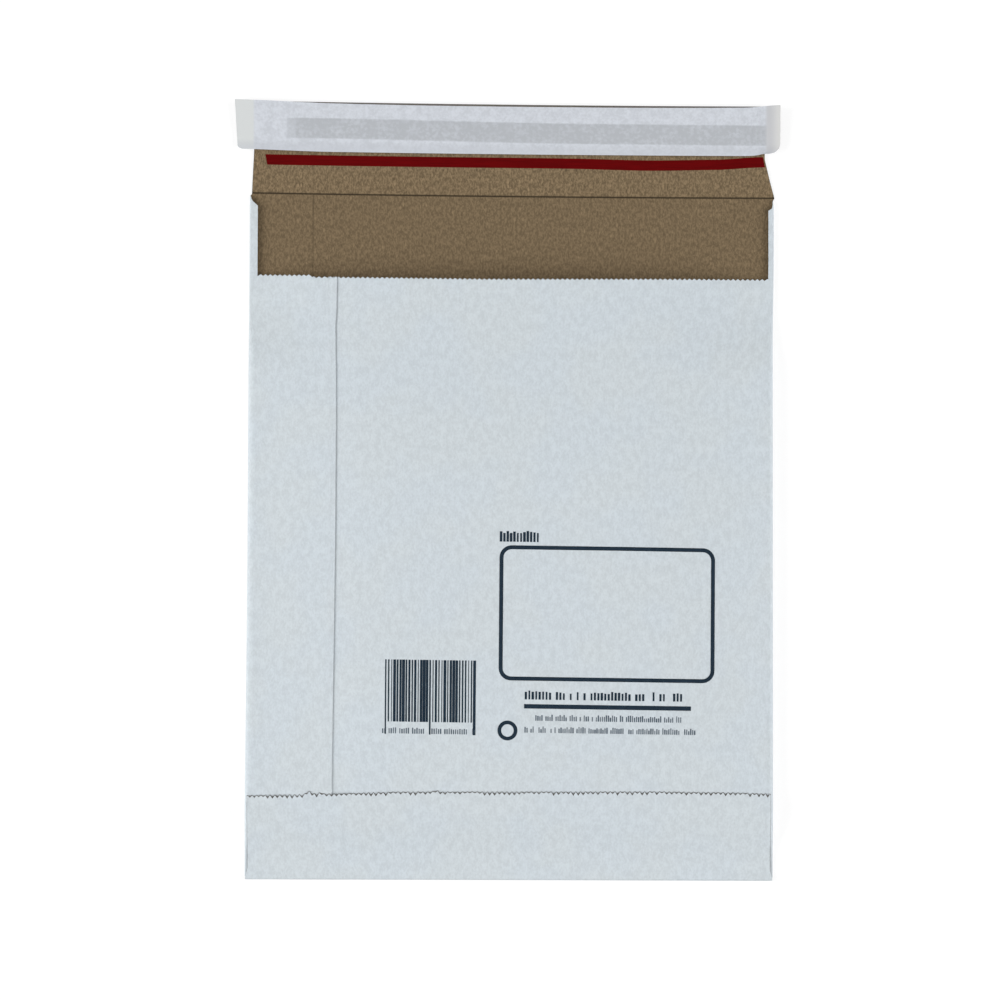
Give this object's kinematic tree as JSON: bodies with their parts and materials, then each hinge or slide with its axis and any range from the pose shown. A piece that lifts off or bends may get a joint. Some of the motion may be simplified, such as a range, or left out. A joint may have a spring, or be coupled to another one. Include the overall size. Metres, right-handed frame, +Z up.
{
  "type": "padded paper mailing envelope",
  "caption": "Open padded paper mailer lying on its back, flap up, seam side showing, with a tear strip and a peel-off strip on the flap.",
  "frame": {"origin": "on the flat underside, under the middle of the closed envelope's 215 mm by 280 mm footprint, at the level of the surface that it lies on", "axes": "+Y along the length towards the open flap, +X to the right as the open side is seen from above, +Z up out of the seam side"},
  "size_m": [0.2246, 0.3203, 0.0125],
  "materials": {
    "white_paper": "matt white paper, faintly fibrous",
    "brown_kraft": "matt brown kraft with a vertical grain",
    "shredded_paper": "rough shredded paper fibre",
    "clear_glue": "satin hot-melt glue",
    "red_film": "satin red film",
    "release_paper": "smooth coated paper with a slight sheen"
  },
  "bodies": {
    "root": {"outer_wrap": "white_paper", "inner_liner": "brown_kraft", "padding": "shredded_paper", "seam_glue": "clear_glue", "bottom_flap_glue": "clear_glue", "adhesive_strip": "clear_glue", "tear_strip": "red_film", "release_strip": "release_paper"}
  },
  "joints": []
}
